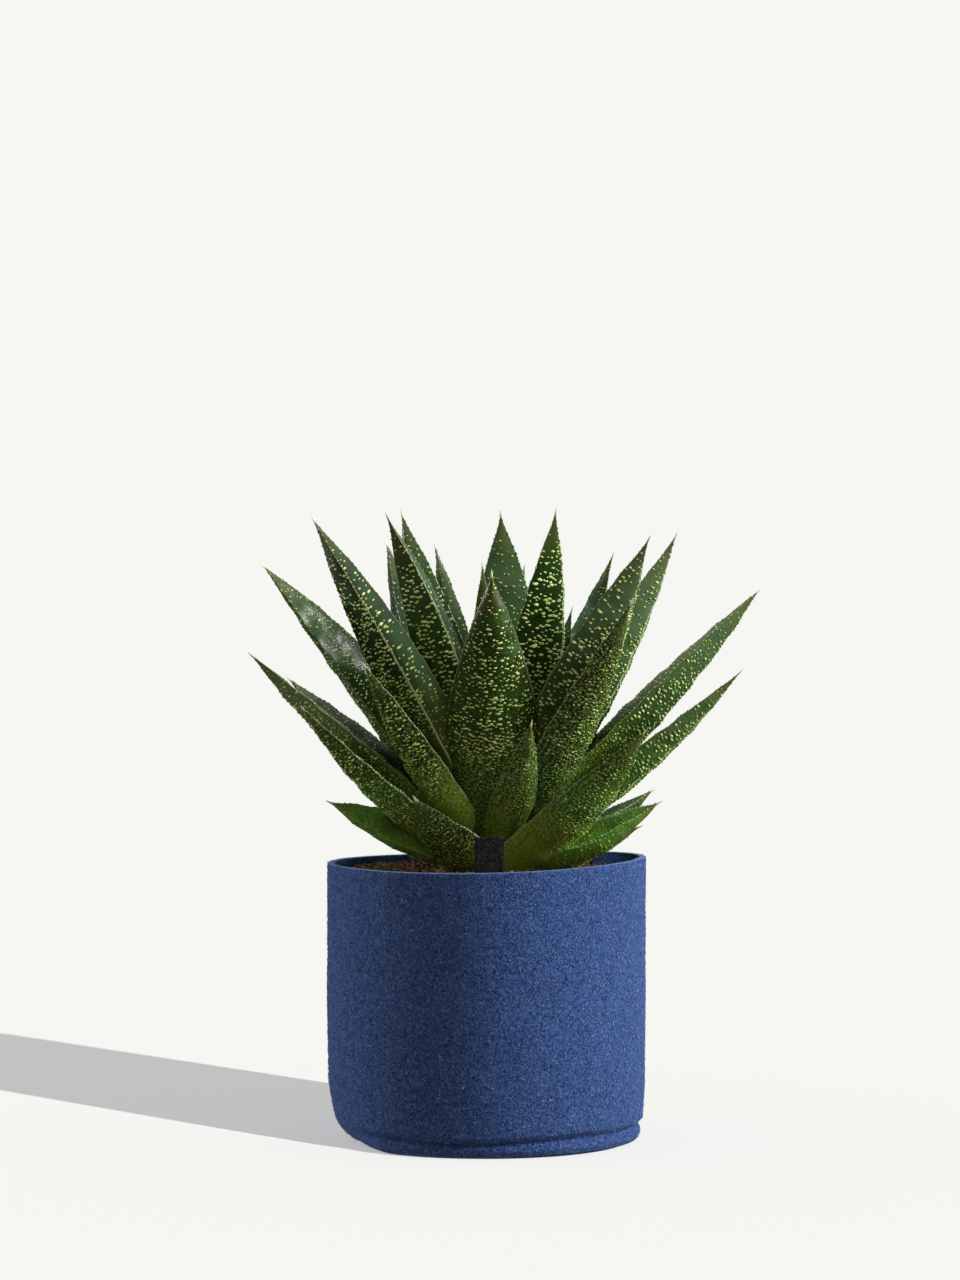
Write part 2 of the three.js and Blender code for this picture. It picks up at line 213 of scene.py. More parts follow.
def stamped(shape, shape_faces, centres, across, along, outward):
    """A copy of a small shape at each centre, its X, Y and Z taken along the given scaled directions."""
    points = (
        centres[:, None, :]
        + shape[None, :, 0, None] * across[:, None, :]
        + shape[None, :, 1, None] * along[:, None, :]
        + shape[None, :, 2, None] * outward[:, None, :]
    )
    count = len(shape)
    faces = [tuple(v + i * count for v in face) for i in range(len(centres)) for face in shape_faces]
    return points.reshape(-1, 3), faces


def joined(*parts):
    """The points and faces of several shapes as one."""
    faces = []
    start = 0
    for points, part_faces in parts:
        faces += [tuple(v + start for v in face) for face in part_faces]
        start += len(points)
    return np.vstack([points for points, _ in parts]), faces


def turns(count):
    return 2 * np.pi * np.arange(count) / count


def around(radius, turn, height):
    """Points at a radius, a turn about the middle and a height."""
    return np.stack(np.broadcast_arrays(radius * np.cos(turn), radius * np.sin(turn), height), -1)


def ring(radius, height, count):
    return around(radius, turns(count), height)


# The foot of a wart or a tooth is sunk by this share of its height, and a wart's waist counts as this high.
SUNK = 0.3
WAIST_TONE = 0.7


def dome(sides, waist, waist_height):
    """A low closed dome of unit radius and height, and how high up each point counts."""
    points = np.vstack([ring(1, -SUNK, sides), ring(waist, waist_height, sides), [[0, 0, 1]]])
    faces = grid_faces(2, sides)
    faces += [(sides + i, sides + (i + 1) % sides, 2 * sides) for i in range(sides)]
    faces.append(tuple(reversed(range(sides))))
    return points, faces, np.concatenate([np.zeros(sides), np.full(sides, WAIST_TONE), [1.0]])


def cone(sides):
    """A closed cone of unit radius and height."""
    points = np.vstack([ring(1, -SUNK, sides), [[0, 0, 1]]])
    faces = [(i, (i + 1) % sides, sides) for i in range(sides)]
    faces.append(tuple(reversed(range(sides))))
    return points, faces


# Materials

# A node is added to the tree of the socket that feeds it.

def feed(socket, value):
    """Gives an input a value, or links it to an output."""
    if isinstance(value, bpy.types.NodeSocket):
        socket.id_data.links.new(value, socket)
    else:
        socket.default_value = value


def add(tree, kind, inputs=None, **settings):
    """A shader node with its settings and its inputs."""
    made = tree.nodes.new(f"ShaderNode{kind}")
    for key, value in settings.items():
        setattr(made, key, value)
    for key, value in (inputs or {}).items():
        feed(made.inputs[key], value)
    return made


def new_material(name):
    look = bpy.data.materials.new(name)
    look.use_nodes = True
    return look, look.node_tree, look.node_tree.nodes["Principled BSDF"]


def settle(shader, values):
    """Gives a shader's inputs their values."""
    for name, value in values.items():
        feed(shader.inputs[name], value)


def shade(shader, colour, roughness):
    settle(shader, {"Base Color": colour, "Roughness": roughness})


def attribute(tree, name):
    return add(tree, "Attribute", attribute_name=name).outputs["Fac"]


def noise_of(vector, scale, detail=3.0, roughness=0.55, distortion=0.0):
    made = add(vector.id_data, "TexNoise", {
        "Vector": vector,
        "Scale": scale,
        "Detail": detail,
        "Roughness": roughness,
        "Distortion": distortion,
    })
    return made.outputs["Fac"]


def ramp(factor, stops):
    made = add(factor.id_data, "ValToRGB", {"Fac": factor})
    band = made.color_ramp
    while len(band.elements) < len(stops):
        band.elements.new(0.5)
    for element, (place, colour) in zip(band.elements, stops):
        element.position = place
        element.color = (*colour, 1) if isinstance(colour, tuple) else (colour, colour, colour, 1)
    return made.outputs["Color"]


# Where the colour sockets of a mix node are
MIX_FIRST = 6
MIX_SECOND = 7
MIX_RESULT = 2


def blend(factor, first, second, mode="MIX"):
    made = add(factor.id_data, "Mix", {0: factor}, data_type="RGBA", blend_type=mode)
    for place, value in ((MIX_FIRST, first), (MIX_SECOND, second)):
        feed(made.inputs[place], (*value, 1) if isinstance(value, tuple) else value)
    return made.outputs[MIX_RESULT]


def maths(operation, *values):
    return add(values[0].id_data, "Math", dict(enumerate(values)), operation=operation).outputs[0]


def times(first, second):
    return maths("MULTIPLY", first, second)


def plus(first, second):
    return maths("ADD", first, second)


def object_place(tree):
    return add(tree, "TexCoord").outputs["Object"]


def bump(shader, height, strength, distance):
    made = add(height.id_data, "Bump", {"Height": height, "Strength": strength, "Distance": distance})
    feed(shader.inputs["Normal"], made.outputs[0])


def stretched(place, across, along):
    return add(place.id_data, "Mapping", {"Vector": place, "Scale": (across, along, 1.0)}).outputs[0]


def skin_colour(tree, share, place, mottle):
    """Dark green or olive skin, a painted silvery grey sheen towards some tips, and lime at the root end."""
    cloud = noise_of(stretched(place, 0.07, 0.05), 1.0, 2.0)
    dark = ramp(mottle, [(0.3, (0.007, 0.024, 0.003)), (0.7, (0.016, 0.062, 0.005))])
    tan = ramp(mottle, [(0.3, (0.018, 0.027, 0.004)), (0.7, (0.040, 0.056, 0.008))])
    body = blend(attribute(tree, "olive"), dark, tan)
    # Random vivid green patches: partly the skin's own tone, partly a painted glow of light through the leaf.
    green_and_glow_patched = blend(ramp(cloud, [(0.45, 0.0), (0.70, 0.6)]), body, (0.020, 0.105, 0.005))
    lower = ramp(share, [(0.20, 0.75), (0.55, 0.0)])
    lowered = blend(lower, green_and_glow_patched, (0.013, 0.028, 0.005))
    # Per-leaf scale of the skin: partly its own tone, partly painted light and painted shade.
    toned_and_lit = add(tree, "VectorMath", {"Vector": lowered, "Scale": attribute(tree, "light")},
                    operation="SCALE").outputs[0]
    # Painted sheen: the upper part is blended to a silvery grey-green that stands in for reflected light.
    painted_sheen = times(ramp(share, [(0.45, 0.0), (0.78, 1.0)]), attribute(tree, "painted_sheen"))
    painted_sheen_added = blend(painted_sheen, toned_and_lit, (0.102, 0.168, 0.076))
    foot = times(ramp(share, [(0.16, 1.0), (0.55, 0.0)]), attribute(tree, "lime"))
    footed = blend(foot, painted_sheen_added, (0.25, 0.39, 0.028))
    return blend(ramp(share, [(0.84, 0.0), (1.0, 0.7)]), footed, (0.12, 0.13, 0.035))


def skin_specks(tree, share, place):
    """Fine specks at the root end, and all over the leaves that have them."""
    cells = add(tree, "TexVoronoi", {
        "Vector": stretched(place, 0.82, 1.02),
        "Scale": 1.0,
        "Randomness": 0.85,
    }, voronoi_dimensions="2D")
    uneven = times(noise_of(place, 0.5, 1.0), 0.3)
    speck = ramp(plus(cells.outputs["Distance"], uneven), [(0.38, 1.0), (0.54, 0.0)])
    specks = attribute(tree, "specks")
    low_share = ramp(specks, [(0.0, 0.15), (0.3, 1.0)])
    low_part = times(ramp(share, [(0.36, 1.0), (0.56, 0.0)]), low_share)
    all_over = times(ramp(share, [(0.80, 0.9), (0.97, 0.25)]), specks)
    return times(speck, maths("MAXIMUM", low_part, all_over))


def leaf_skin():
    look, tree, shader = new_material("leaf_skin")
    share = attribute(tree, "share")
    place = add(tree, "CombineXYZ", {
        "X": attribute(tree, "across"),
        "Y": attribute(tree, "along"),
        "Z": attribute(tree, "own"),
    }).outputs[0]
    mottle = noise_of(stretched(place, 0.16, 0.5), 1.0, 4.0, 0.6, 0.4)
    specks = skin_specks(tree, share, place)
    specked = blend(specks, skin_colour(tree, share, place, mottle), (0.14, 0.205, 0.055), "ADD")
    # Pale margins and keel lines: the leaf's own pale edges, brightened as a painted highlight, most along
    # keels.
    edged = blend(attribute(tree, "edge"), specked, (0.78, 0.86, 0.58))
    gloss = ramp(mottle, [(0.25, 0.22), (0.75, 0.36)])
    shade(shader, edged, plus(gloss, attribute(tree, "dull")))
    settle(shader, {"Specular IOR Level": 0.5})
    grain = noise_of(stretched(place, 0.45, 0.2), 1.0, 1.0, 0.4)
    streaks = noise_of(stretched(place, 0.9, 0.03), 1.0, 1.0)
    height = plus(plus(grain, times(specks, 0.3)), streaks)
    bump(shader, height, 0.2, 0.0003)
    return look


def wart_skin():
    """Warts fade from the green of the skin at their foot to a pale crown."""
    look, tree, shader = new_material("leaf_wart")
    crown = ramp(attribute(tree, "crown"), [(0.0, 0.0), (0.6, 1.0)])
    varied = maths("SUBTRACT", noise_of(object_place(tree), 900.0, 2.0), 0.5)
    top = ramp(plus(attribute(tree, "tone"), times(varied, 0.4)), [
        (0.0, (0.09, 0.16, 0.02)),
        (0.4, (0.24, 0.36, 0.05)),
        (0.75, (0.48, 0.64, 0.15)),
        (1.0, (0.74, 0.88, 0.38)),
    ])
    rough = noise_of(object_place(tree), 2500.0, 2.0)
    colour = blend(crown, (0.030, 0.080, 0.008), top)
    shade(shader, colour, ramp(rough, [(0.3, 0.32), (0.7, 0.46)]))
    return look


def tooth_skin():
    look, tree, shader = new_material("leaf_tooth")
    colour = ramp(attribute(tree, "tone"), [(0.0, (0.13, 0.17, 0.05)), (1.0, (0.38, 0.42, 0.20))])
    rough = noise_of(object_place(tree), 2500.0, 2.0)
    shade(shader, colour, ramp(rough, [(0.3, 0.4), (0.7, 0.55)]))
    return look


def curls(place, scale, shift, half_width):
    """Thin curly lines, where a noise passes through its middle value."""
    shifts = (shift, shift * 0.7, -shift)
    moved = add(place.id_data, "Mapping", {"Vector": place, "Location": shifts}).outputs[0]
    away = maths("SUBTRACT", noise_of(moved, scale, 2.0, 0.6, 0.8), 0.5)
    return ramp(maths("ABSOLUTE", away), [(0.0, 1.0), (half_width, 0.0)])


# The scale, shift and half width of each layer of curly fibres
CURLY_LAYERS = ((520.0, 0.0, 0.07), (700.0, 3.1, 0.07), (900.0, 7.7, 0.05))
PIT_SHADE = 0.3

# The deep, middle, light and pale tones of each felt, and the paler tone of its cut edge, partly a painted
# highlight
BLUE = ((0.004, 0.018, 0.090), (0.013, 0.045, 0.195), (0.050, 0.125, 0.43), (0.26, 0.40, 0.76))
BLUE_RIM_AND_HIGHLIGHT = (0.20, 0.31, 0.56)
CHARCOAL = ((0.004, 0.004, 0.005), (0.009, 0.009, 0.010), (0.022, 0.022, 0.024), (0.11, 0.11, 0.115))
CHARCOAL_RIM_AND_HIGHLIGHT = (0.03, 0.03, 0.03)
BLUE_FIBRES = ((0.012, 0.040, 0.15), (0.34, 0.47, 0.84))


def felt_cloth(name, tones, rim):
    """Heathered felt: light and dark fibres curl over each other, with pale specks and a paler cut edge,
    partly painted highlight.
    """
    deep, middle, light, pale = tones
    look, tree, shader = new_material(name)
    place = object_place(tree)
    cloud = noise_of(place, 55.0, 2.0, 0.5)
    patch = noise_of(place, 700.0, 3.0, 0.75, 0.5)
    mixed = plus(times(cloud, 0.2), times(patch, 0.8))
    cloth = ramp(mixed, [(0.40, deep), (0.60, middle)])
    pits = ramp(noise_of(place, 1300.0, 2.0, 0.6), [(0.36, 0.8), (0.47, 0.0)])
    cloth = blend(pits, cloth, tuple(PIT_SHADE * part for part in deep))
    first, second, third = (curls(place, *layer) for layer in CURLY_LAYERS)
    for fibres, strength, tone in ((first, 0.6, light), (second, 0.6, light), (third, 0.5, pale)):
        cloth = blend(times(fibres, strength), cloth, tone)
    cells = add(tree, "TexVoronoi", {"Vector": place, "Scale": 950.0, "Randomness": 1.0})
    speck = ramp(cells.outputs["Distance"], [(0.22, 1.0), (0.42, 0.0)])
    lot = maths("FRACT", times(cells.outputs["Color"], 7.0))
    cloth = blend(times(speck, ramp(lot, [(0.84, 0.0), (0.92, 0.4)])), cloth, pale)
    # The rim's cut edge is paler: partly its own colour, partly a painted highlight.
    cloth = blend(times(attribute(tree, "cut_edge_and_highlight"), 0.7), cloth, rim)
    shade(shader, cloth, ramp(patch, [(0.3, 0.85), (0.7, 1.0)]))
    settle(shader, {
        "Specular IOR Level": 0.12,
        "Sheen Weight": 0.15,
        "Sheen Roughness": 0.3,
        "Sheen Tint": (0.35, 0.6, 1.0, 1),
    })
    bump(shader, plus(plus(first, second), patch), 0.8, 0.0004)
    return look


def fibre_look(name, dark, light):
    look, tree, shader = new_material(name)
    place = object_place(tree)
    varied = plus(attribute(tree, "tone"), times(noise_of(place, 800.0), 0.2))
    rough = ramp(noise_of(place, 1500.0), [(0.3, 0.7), (0.7, 0.9)])
    shade(shader, ramp(varied, [(0.1, dark), (1.1, light)]), rough)
    settle(shader, {"Specular IOR Level": 0.2})
    return look


def soil_crumb():
    look, tree, shader = new_material("soil_crumb")
    place = object_place(tree)
    crumb = noise_of(place, 420.0, 5.0, 0.65)
    colour = ramp(crumb, [
        (0.34, (0.006, 0.003, 0.0015)),
        (0.5, (0.050, 0.022, 0.008)),
        (0.70, (0.20, 0.088, 0.032)),
    ])
    shade(shader, colour, ramp(crumb, [(0.3, 0.85), (0.7, 1.0)]))
    bump(shader, noise_of(place, 900.0, 5.0, 0.7), 0.9, 0.001)
    return look


def soil_chip():
    look, tree, shader = new_material("soil_chip")
    colour = ramp(attribute(tree, "tone"), [
        (0.0, (0.010, 0.004, 0.002)),
        (0.5, (0.11, 0.042, 0.014)),
        (0.8, (0.26, 0.12, 0.045)),
        (1.0, (0.42, 0.26, 0.12)),
    ])
    rough = noise_of(object_place(tree), 1200.0, 3.0)
    shade(shader, colour, ramp(rough, [(0.3, 0.8), (0.7, 1.0)]))
    return look


def stem_skin():
    look, tree, shader = new_material("stem_skin")
    patch = noise_of(object_place(tree), 160.0, 4.0)
    colour = ramp(patch, [(0.3, (0.05, 0.07, 0.015)), (0.7, (0.12, 0.15, 0.03))])
    shade(shader, colour, ramp(patch, [(0.3, 0.5), (0.7, 0.7)]))
    bump(shader, noise_of(object_place(tree), 700.0, 4.0), 0.5, 0.0005)
    return look


# Leaves

class Leaf:
    """One leaf's form: a bowed spine, a width and a depth along it, and an outer face raised to a keel."""

    def __init__(self, number, row):
        self.number = number
        azimuth, root_height, reach, tip_height, width, depth, arch, roll, keel = row
        angle = math.radians(azimuth)
        out = np.array([math.cos(angle), math.sin(angle), 0])
        axis = np.array([STEM_X, 0, 0])
        self.root = axis + out * LEAF_ROOT + np.array([0, 0, root_height])
        self.tip = axis + out * reach + np.array([0, 0, tip_height])
        chord = self.tip - self.root
        self.length = np.linalg.norm(chord)
        across = np.array([math.sin(angle), -math.cos(angle), 0])
        self.up = unit(np.cross(across, chord))
        lift = self.up * arch * self.length + across * self.trait("sway") * self.length
        self.bend = (self.root + self.tip) / 2 + lift
        self.turn = math.radians(roll)
        self.width = width
        self.depth = depth
        self.keel = keel
        self.fullness = self.trait("fullness")
        self.rounded = number in ROUND_BACKED
        self.phase = 0.37 * azimuth + 0.11 * reach

    def trait(self, name):
        usual, own = TRAITS[name]
        return own.get(self.number, usual)

    def basis(self, u):
        u = np.asarray(u, float)[..., None]
        inside = np.clip(u, 0, 1)
        left = 1 - inside
        place = left ** 2 * self.root + 2 * inside * left * self.bend + inside ** 2 * self.tip
        along = unit(left * (self.bend - self.root) + inside * (self.tip - self.bend))
        place = place + along * (u - inside) * self.length
        normal = unit(self.up - (along @ self.up)[..., None] * along)
        side = np.cross(along, normal)
        inward = normal * math.cos(self.turn) + side * math.sin(self.turn)
        side = side * math.cos(self.turn) - normal * math.sin(self.turn)
        return place, along, inward, side

    def width_share(self, u):
        u = np.asarray(u, float)
        left = np.clip((1 - u) / (1 - WIDEST_AT), 0, 1)
        tip = (1 - (1 - left) ** self.fullness) * (1 - 0.35 * np.exp(-((left / 0.12) ** 2)))
        return np.where(u < WIDEST_AT, 1.0, tip)

    def raised(self, u, s, rise):
        """Places on the blade, raised towards its inner side. Soft waves fade out at the root and the tip."""
        place, _, inward, side = self.basis(u)
        travel = u * self.length
        swell = np.sin(travel / LONG_WAVE + self.phase + 1.4 * s)
        swell = swell + 0.6 * np.sin(travel / SHORT_WAVE - 2.1 * s + 2.3 * self.phase)
        swell = swell * smoothstep(u, 0.0, 0.15) * (1 - smoothstep(u, 0.8, 1.0))
        place = place + inward * (WAVE * swell)[..., None]
        return place + side * (s * self.half(u))[..., None] + inward * rise[..., None]

    def half(self, u):
        spike = 0.4 * np.clip(1 - (np.asarray(u, float) - 1) * self.length / MUCRO, 0.1, 1)
        return np.maximum(0.5 * self.width * self.width_share(u), spike)

    def thick(self, u):
        u = np.asarray(u, float)
        spike = 0.5 * np.clip(1 - (u - 1) * self.length / MUCRO, 0.1, 1)
        blade = self.depth * self.width * self.width_share(u) ** 0.8
        return np.maximum(blade * (1 - 0.2 * np.clip(u, 0, 1)), spike)

    def outer(self, u, s):
        away = np.where(s < self.keel, (self.keel - s) / (1 + self.keel), (s - self.keel) / (1 - self.keel))
        power = ROUND_BACK if self.rounded else 2 - 0.6 * np.clip(u, 0, 1)
        return self.raised(u, s, -self.thick(u) * (1 - np.clip(away, 0, 1) ** power))

    def inner(self, u, s):
        return self.raised(u, s, INNER_SWELL * self.thick(u) * (1 - s * s))

    def outward(self, face, u, s):
        """Unit normals of a face, with the directions across and along it."""
        step = 0.004
        high = face(u + step, s)
        low = face(u - step, s)
        right = face(u, s + step)
        left = face(u, s - step)
        along = unit(high - low)
        across = unit(right - left)
        normal = unit(np.cross(across, along))
        _, _, inward, _ = self.basis(u)
        facing = np.sum(normal * inward, axis=-1, keepdims=True)
        wanted = 1.0 if face == self.inner else -1.0
        normal = normal * np.where(facing * wanted < 0, -1.0, 1.0)
        return normal, unit(np.cross(along, normal)), along


SKIN_PITCH = 2.0
MARGIN_LINE = 0.25
WARTS_START = 0.26
WARTS_END = 0.975
WART_BAND = 7.5
# How far apart the warts are along and across the leaf, and how much further on the inner face
WART_ROW = 2.2
WART_GAP = 1.5
INNER_SPARSE = 1.25
WART_WIDE = 0.84
WART_LONG = 0.54
WART_HIGH = 0.34
TOOTH_PITCH = 2.6
TOOTH_LONG = 0.75
TOOTH_HIGH = 0.36
# The pattern of the inner face lies this many half widths past the outer one's, and each leaf's this far on.
INNER_SHIFT = 3
OWN_SHIFT = 7.3
OUTER_STEPS = np.array([0.05, 0.14, 0.28, 0.45, 0.62, 0.78, 0.9, 0.97])
INNER_PLACES = np.array([0.95, 0.82, 0.6, 0.3, 0.0, -0.3, -0.6, -0.82, -0.95])
MUCRO_STEPS = np.array([0.25, 0.55, 0.8])


def skin_of(leaf):
    """Points, faces and point values of a leaf's smooth skin."""
    rows = int(leaf.length / SKIN_PITCH)
    u = np.concatenate([np.linspace(0, 1, rows), 1 + MUCRO_STEPS * MUCRO / leaf.length])
    keel = leaf.keel
    left = keel - OUTER_STEPS[::-1] * (1 + keel)
    right = keel + OUTER_STEPS * (1 - keel)
    outer_s = np.concatenate([[-1.0], left, [keel], right, [1.0]])
    u_grid, s_grid = np.meshgrid(u, outer_s, indexing="ij")
    outer = leaf.outer(u_grid, s_grid)
    v_grid, t_grid = np.meshgrid(u, INNER_PLACES, indexing="ij")
    inner = leaf.inner(v_grid, t_grid)
    rings = np.concatenate([outer, inner], axis=1)
    columns = rings.shape[1]
    edges = np.zeros(columns)
    edges[0] = edges[len(outer_s) - 1] = MARGIN_LINE
    # A keel line is partly the keel's own pale colour and partly a painted highlight.
    edges[1 + len(OUTER_STEPS)] = 0.0 if leaf.rounded else leaf.trait("keel line and painted highlight")
    place, along, _, _ = leaf.basis(np.array([0.0, 1.0]))
    points = np.vstack([rings.reshape(-1, 3), place[0], place[1] + along[1] * MUCRO])
    faces = flipped(grid_faces(len(u), columns))
    foot = len(u) * columns
    last = (len(u) - 1) * columns
    for j in range(columns):
        k = (j + 1) % columns
        faces.append((foot, j, k))
        faces.append((foot + 1, last + k, last + j))
    shares = np.concatenate([np.repeat(u, columns), [0, 1]])
    sideways = np.concatenate([s_grid, t_grid + INNER_SHIFT], axis=1) * leaf.half(u)[:, None]
    tip_fade = np.repeat(smoothstep(u, 0.1, 0.3), columns) * np.tile(edges, len(u))
    spike = np.repeat(smoothstep(u, 0.985, 1.0), columns)
    return points, faces, {
        "share": shares,
        "across": np.concatenate([sideways.ravel(), [0, 0]]),
        "along": shares * leaf.length,
        "edge": np.concatenate([np.maximum(tip_fade, spike), [0, 1]]),
    }


def wart_places(leaf, draw, inner):
    """Where the warts stand on a face: loose wavy bands, closer low down and sparse near the tip."""
    u_all = []
    s_all = []
    travel = WARTS_START * leaf.length
    phase = draw.uniform(0, 6.28)
    sparse = INNER_SPARSE if inner else 1.0
    grown = math.sqrt(leaf.trait("wart size")) * sparse / leaf.trait("close")
    while travel < WARTS_END * leaf.length:
        u = travel / leaf.length
        wide = 2 * float(leaf.half(u)) * (1.0 if inner else 1.12)
        low = 1 - float(smoothstep(u, 0.2, 0.55))
        high = float(smoothstep(u, 0.6, 1.0))
        count = max(1, int(wide / ((WART_GAP - 0.3 * low + 0.6 * high) * grown)))
        places = (np.arange(count) + 0.5 + draw.uniform(-0.4, 0.4, count)) / count
        band = 0.5 + 0.5 * math.sin(2 * math.pi * travel / WART_BAND + phase + math.sin(0.13 * travel))
        patch = 0.5 + 0.5 * np.sin(0.45 * places * wide + 0.4 * travel + phase)
        kept = 0.85 * low + (1 - low) * (0.22 + 0.33 * band + 0.38 * patch)
        chosen = draw.uniform(0, 1, count) < kept * float(smoothstep(u, 0.24, 0.46))
        s = (2 * places - 1)[chosen] * 0.93
        wave = 0.9 * np.sin(3.1 * s + 0.11 * travel + phase) + 0.5 * np.sin(0.7 * s * wide + 0.3 * travel)
        wave = wave + draw.uniform(-0.35, 0.35, len(s))
        u_all.append(u + wave / leaf.length)
        s_all.append(s)
        travel += (WART_ROW - 0.8 * low + 0.5 * high) * grown
    return np.clip(np.concatenate(u_all), 0.1, 0.985), np.concatenate(s_all)


def warts_of(leaf, draw):
    """Warts on both faces, low domes of mixed sizes that are a little wider across the leaf."""
    parts = []
    tones = []
    crowns = []
    for face, inner, (shape, shape_faces, crown) in (
        (leaf.outer, False, dome(6, 0.76, 0.64)), (leaf.inner, True, dome(5, 0.76, 0.62)),
    ):
        u, s = wart_places(leaf, draw, inner)
        normal, across, along = leaf.outward(face, u, s)
        low = 1 - smoothstep(u, 0.2, 0.55)
        tip = smoothstep(u, 0.75, 1.0)
        drawn = 0.6 + 0.75 * draw.uniform(0, 1, len(u)) ** 1.6
        size = leaf.trait("wart size") * drawn * (1 - 0.45 * low) * (1 - 0.35 * tip)
        wide = WART_WIDE * size * draw.uniform(0.8, 1.4, len(u))
        long = WART_LONG * size
        high = WART_HIGH * size
        parts.append(stamped(
            shape, shape_faces, face(u, s),
            across * wide[:, None], along * long[:, None], normal * high[:, None],
        ))
        tone = np.clip(leaf.trait("bright") + draw.uniform(-0.35, 0.2, len(u)) - 0.3 * low, 0, 1)
        tones.append(np.repeat(tone, len(shape)))
        crowns.append(np.tile(crown, len(u)))
    return *joined(*parts), np.concatenate(tones), np.concatenate(crowns)


def teeth_of(leaf, draw):
    """Small pale teeth along both margins, and along the upper keel where it is sharp."""
    centres = []
    bases = []
    lines = [(-1.0, 0.14), (1.0, 0.14)]
    if not leaf.rounded:
        lines.append((leaf.keel, 0.55))
    for s_line, first in lines:
        count = int((0.97 - first) * leaf.length / TOOTH_PITCH)
        u = np.linspace(first, 0.975, count) + draw.uniform(-0.8, 0.8, count) / leaf.length
        _, along, inward, side = leaf.basis(u)
        if abs(s_line) == 1.0:
            outward = side * s_line
            across = inward
        else:
            outward = -inward
            across = side
        size = draw.uniform(0.6, 1.2, count)[:, None]
        centres.append(leaf.outer(u, np.full(count, s_line)))
        leaning = outward + 0.25 * along
        bases.append((across * TOOTH_HIGH * size, along * TOOTH_LONG * size, leaning * TOOTH_HIGH * size))
    across, along, outward = (np.vstack([base[i] for base in bases]) for i in range(3))
    handed = np.sum(np.cross(across, along) * outward, axis=1, keepdims=True)
    across = across * np.where(handed < 0, -1.0, 1.0)
    shape, shape_faces = cone(5)
    points, faces = stamped(shape, shape_faces, np.vstack(centres), across, along, outward)
    tones = np.repeat(draw.uniform(0.1, 1.0, len(across)), len(shape))
    return points, faces, tones


def make_leaf(number, row, looks):
    draw = np.random.default_rng(LEAF_SEED + number)
    leaf = Leaf(number, row)
    skin, skin_faces, values = skin_of(leaf)
    warts, wart_faces, wart_tones, crowns = warts_of(leaf, draw)
    teeth, tooth_faces, tooth_tones = teeth_of(leaf, draw)
    points, faces = joined((skin, skin_faces), (warts, wart_faces), (teeth, tooth_faces))
    rest = len(warts) + len(teeth)
    attributes = {key: np.concatenate([value, np.zeros(rest)]) for key, value in values.items()}
    attributes["tone"] = np.concatenate([np.zeros(len(skin)), wart_tones, tooth_tones])
    attributes["crown"] = np.concatenate([np.zeros(len(skin)), crowns, np.zeros(len(teeth))])
    for name in SKIN_TRAITS:
        attributes[name] = np.full(len(points), leaf.trait(name))
    attributes["own"] = np.full(len(points), OWN_SHIFT * number)
    face_looks = [0] * len(skin_faces) + [1] * len(wart_faces) + [2] * len(tooth_faces)
    node = f"leaf_{number:02d}"
    made = piece(f"{node}_skin", points, faces, looks, face_looks, attributes)
    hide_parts(node)
    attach(made, BODY)


# Planter

WALL_COLUMNS = 340
CREASE_TOP = 9.5
GRAIN_DEPTH = 0.32
FLAT_BELOW = 0.4
FINE_PITCH = 0.42
WALL_PITCH = 1.5
FOOT_TOP = 24
FOOT_RADIUS = 64.4
CREASE_EXTRA = 0.4
# Radius and height up the foot, where it is creased and where it is rounded
SHARP_FOOT = [
    (58, 0), (61.6, 1.2), (62.9, 3.2), (62.7, 5.4), (61.0, 6.7), (62.3, 7.6), (64.1, 9.2), (64.8, FOOT_TOP),
]
SOFT_FOOT = [
    (50, 0), (54.5, 1.6), (57.4, 3.7), (59.4, 5.9), (60.6, 7.6), (61.2, 9.0), (62.0, 11.2),
    (FOOT_RADIUS, FOOT_TOP),
]
RIM_ROUND = 0.3
RIM_STEPS = 6
UNDER_STEPS = 5
INSIDE_STEPS = 25
WALL_FIBRES = 12000
OUTLINE_HEIGHTS = np.linspace(0.5, POT_HEIGHT, 90)


def rim_height(angle):
    return POT_HEIGHT + 1.25 * np.cos(angle) + 0.4 * np.sin(angle) + 0.65 * np.cos(2 * angle)


def crease_share(angle):
    return smoothstep(np.cos(angle + 0.75), -0.45, 0.1)


def wall_wave(angle):
    return 0.35 * np.sin(3 * angle + 0.6)


def wall_rows():
    """Heights of the outside rows: close together round the crease, wider above it."""
    low = np.arange(0.0, CREASE_TOP, FINE_PITCH)
    count = int((POT_HEIGHT - CREASE_TOP) / WALL_PITCH)
    return np.concatenate([low, np.linspace(CREASE_TOP, POT_HEIGHT - RIM_ROUND, count)])


def outside_radius(angle, heights):
    """The outside radius at some heights: rounded or creased at the foot, nearly plumb above."""
    share = float(crease_share(angle))
    wave = float(wall_wave(angle))
    shift = 0.5 * math.sin(2.3 * angle + 0.4) + 0.3 * math.sin(5.1 * angle)
    sharp = np.array(SHARP_FOOT, float)
    soft = np.array(SOFT_FOOT, float)
    sharp[3:7, 1] += shift
    creased = np.interp(heights, sharp[:, 1], sharp[:, 0])
    rounded = np.interp(heights, soft[:, 1], soft[:, 0])
    foot = rounded + (creased - rounded) * share
    part = np.clip((heights - FOOT_TOP) / (POT_HEIGHT - FOOT_TOP), 0, 1)
    above = POT_RADIUS + wave * part
    top_of_foot = FOOT_RADIUS + CREASE_EXTRA * share
    return np.where(heights < FOOT_TOP, foot, top_of_foot + (above - top_of_foot) * np.minimum(1, 3 * part))


